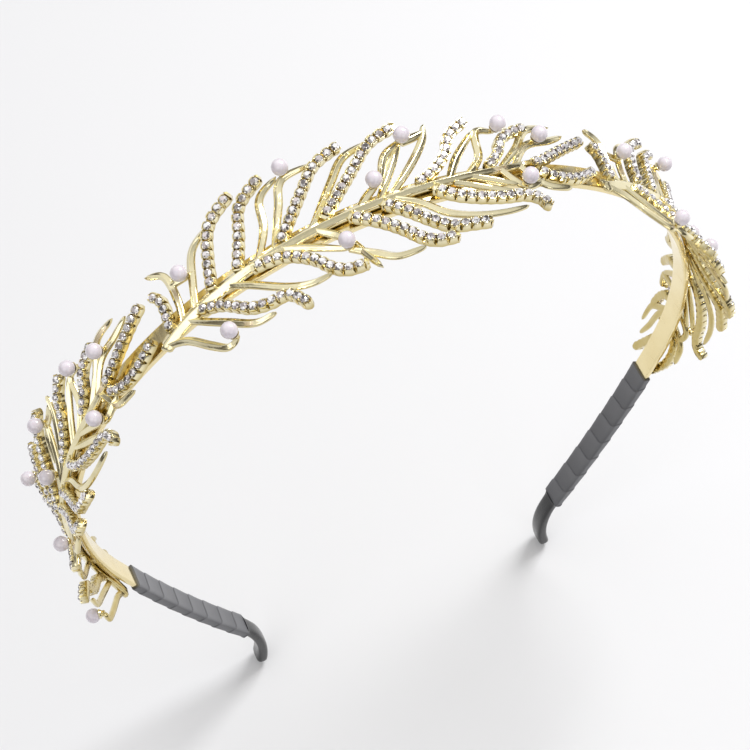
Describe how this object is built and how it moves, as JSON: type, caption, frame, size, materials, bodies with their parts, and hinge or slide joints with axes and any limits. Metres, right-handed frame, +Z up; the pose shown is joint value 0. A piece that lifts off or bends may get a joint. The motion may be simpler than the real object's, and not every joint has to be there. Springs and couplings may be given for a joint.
{
  "type": "bridal tiara",
  "caption": "Curved hair band with pale gold leaf sprays set with small crystals and pearls, ribbon-wrapped legs and out-turned dark tips; grips the head over the crown.",
  "frame": {"origin": "centre of the band's crown arc, on the wearer's mid-plane and midway across the strip", "axes": "+X to the right ear side that the sprays point to, +Y to the back of the head, +Z up to the crown"},
  "size_m": [0.1449, 0.0297, 0.1651],
  "materials": {
    "gilt_strip": "polished gilt sheet metal",
    "gilt_casting": "polished pale gilt casting",
    "solder": "plated solder, slightly rough",
    "crystal": "clear faceted crystal with silvered back",
    "pearl": "nacre-coated imitation pearl",
    "ribbon": "charcoal satin ribbon",
    "black_tip": "glossy black dip coating"
  },
  "bodies": {
    "root": {"band": "gilt_strip", "ribbon_left": "ribbon", "ribbon_right": "ribbon", "end_cap_left": "black_tip", "end_cap_right": "black_tip", "leaf_left": "gilt_casting", "leaf_centre": "gilt_casting", "leaf_right": "gilt_casting", "solder_left": "solder", "solder_centre": "solder", "solder_right": "solder", "pearls_left": "pearl", "pearls_centre": "pearl", "pearls_right": "pearl", "crystals_u1_left": "crystal", "crystals_u2_left": "crystal", "crystals_u3_left": "crystal", "crystals_u4_left": "crystal", "crystals_u5_left": "crystal", "crystals_u6_left": "crystal", "crystals_u7_left": "crystal", "crystals_u8_left": "crystal", "crystals_u9_left": "crystal", "crystals_l1_left": "crystal", "crystals_l2_left": "crystal", "crystals_l3_left": "crystal", "crystals_l4_left": "crystal", "crystals_l5_left": "crystal", "crystals_u1_centre": "crystal", "crystals_u2_centre": "crystal", "crystals_u3_centre": "crystal", "crystals_u4_centre": "crystal", "crystals_u5_centre": "crystal", "crystals_u6_centre": "crystal", "crystals_u7_centre": "crystal", "crystals_u8_centre": "crystal", "crystals_u9_centre": "crystal", "crystals_l1_centre": "crystal", "crystals_l2_centre": "crystal", "crystals_l3_centre": "crystal", "crystals_l4_centre": "crystal", "crystals_l5_centre": "crystal", "crystals_u1_right": "crystal", "crystals_u2_right": "crystal", "crystals_u3_right": "crystal", "crystals_u4_right": "crystal", "crystals_u5_right": "crystal", "crystals_u6_right": "crystal", "crystals_u7_right": "crystal", "crystals_u8_right": "crystal", "crystals_u9_right": "crystal", "crystals_l1_right": "crystal", "crystals_l2_right": "crystal", "crystals_l3_right": "crystal", "crystals_l4_right": "crystal", "crystals_l5_right": "crystal"}
  },
  "joints": []
}
